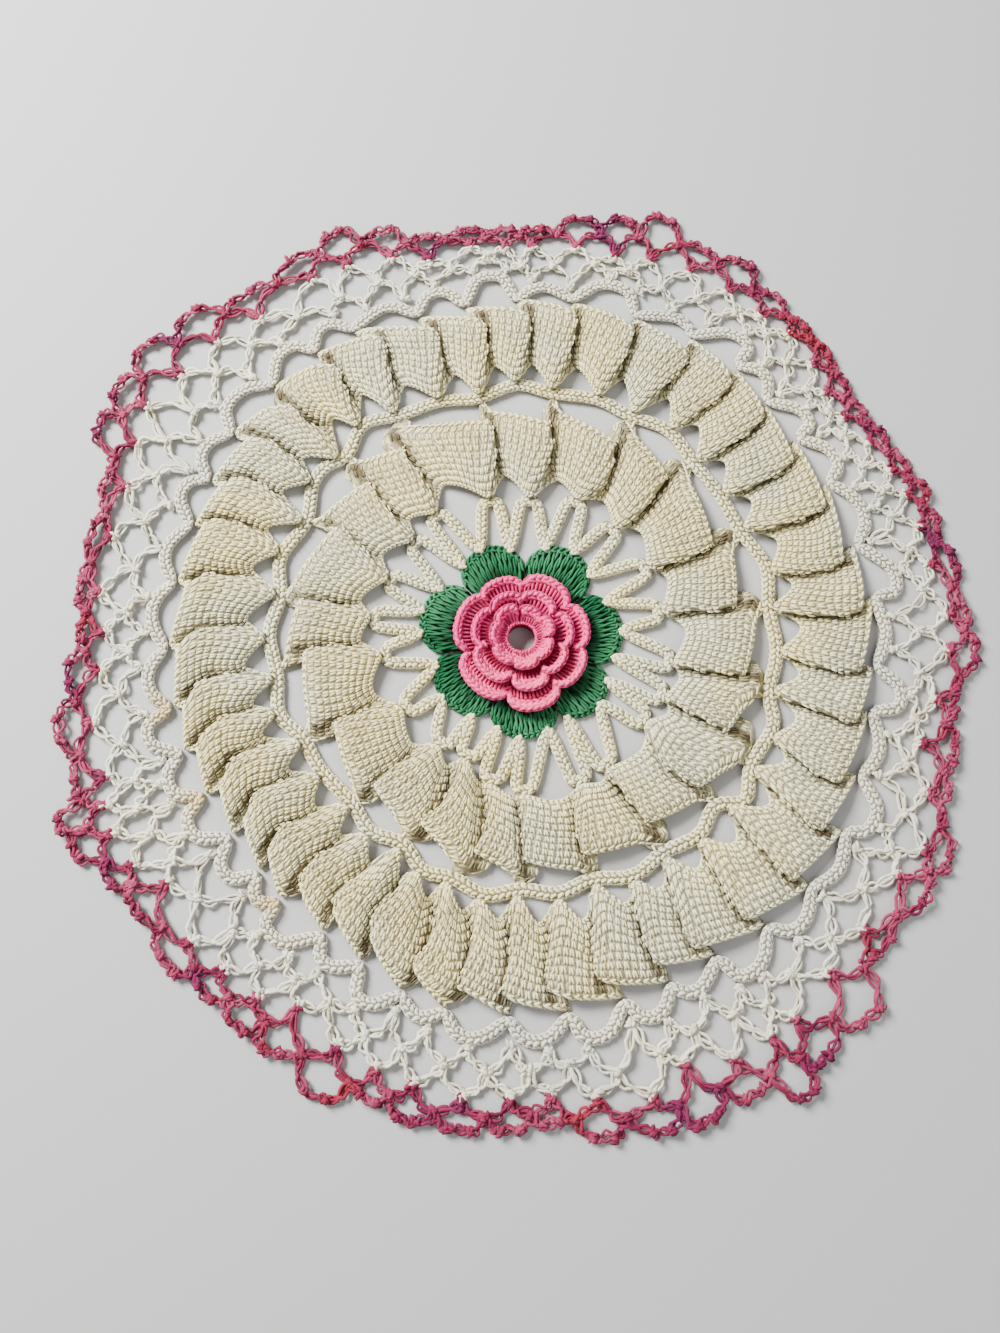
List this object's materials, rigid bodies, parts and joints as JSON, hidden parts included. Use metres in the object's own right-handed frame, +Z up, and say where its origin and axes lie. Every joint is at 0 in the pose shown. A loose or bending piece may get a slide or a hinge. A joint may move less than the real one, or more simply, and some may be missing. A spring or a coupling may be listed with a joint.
{
  "type": "lace doily",
  "caption": "Round crocheted lace doily with a raised rose on leaves, two pleated rounds joined by cords, an open chain net and a two-tone pink edging.",
  "frame": {"origin": "on the surface the doily lies on, under the middle of its outline", "axes": "+Z up through the rose; -Y towards the picture's lower edge, +X towards its right"},
  "size_m": [0.2968, 0.307, 0.01],
  "materials": {
    "cream_cotton": "matt crocheted cotton, warm cream",
    "white_cotton": "matt crocheted cotton, off-white",
    "rose_cotton": "matt crocheted cotton, rose pink",
    "variegated_pink_cotton": "matt crocheted cotton, space-dyed pinks",
    "green_cotton": "matt crocheted cotton, leaf green"
  },
  "bodies": {
    "root": {"rose_front_petals": "rose_cotton", "rose_middle_petals": "rose_cotton", "rose_back_petals": "rose_cotton", "leaf_round": "green_cotton", "star_cord": "cream_cotton", "inner_ruffle": "cream_cotton", "middle_cord": "cream_cotton", "outer_ruffle": "cream_cotton", "outer_cord": "white_cotton", "white_net": "white_cotton", "pink_edging": "variegated_pink_cotton"}
  },
  "joints": []
}
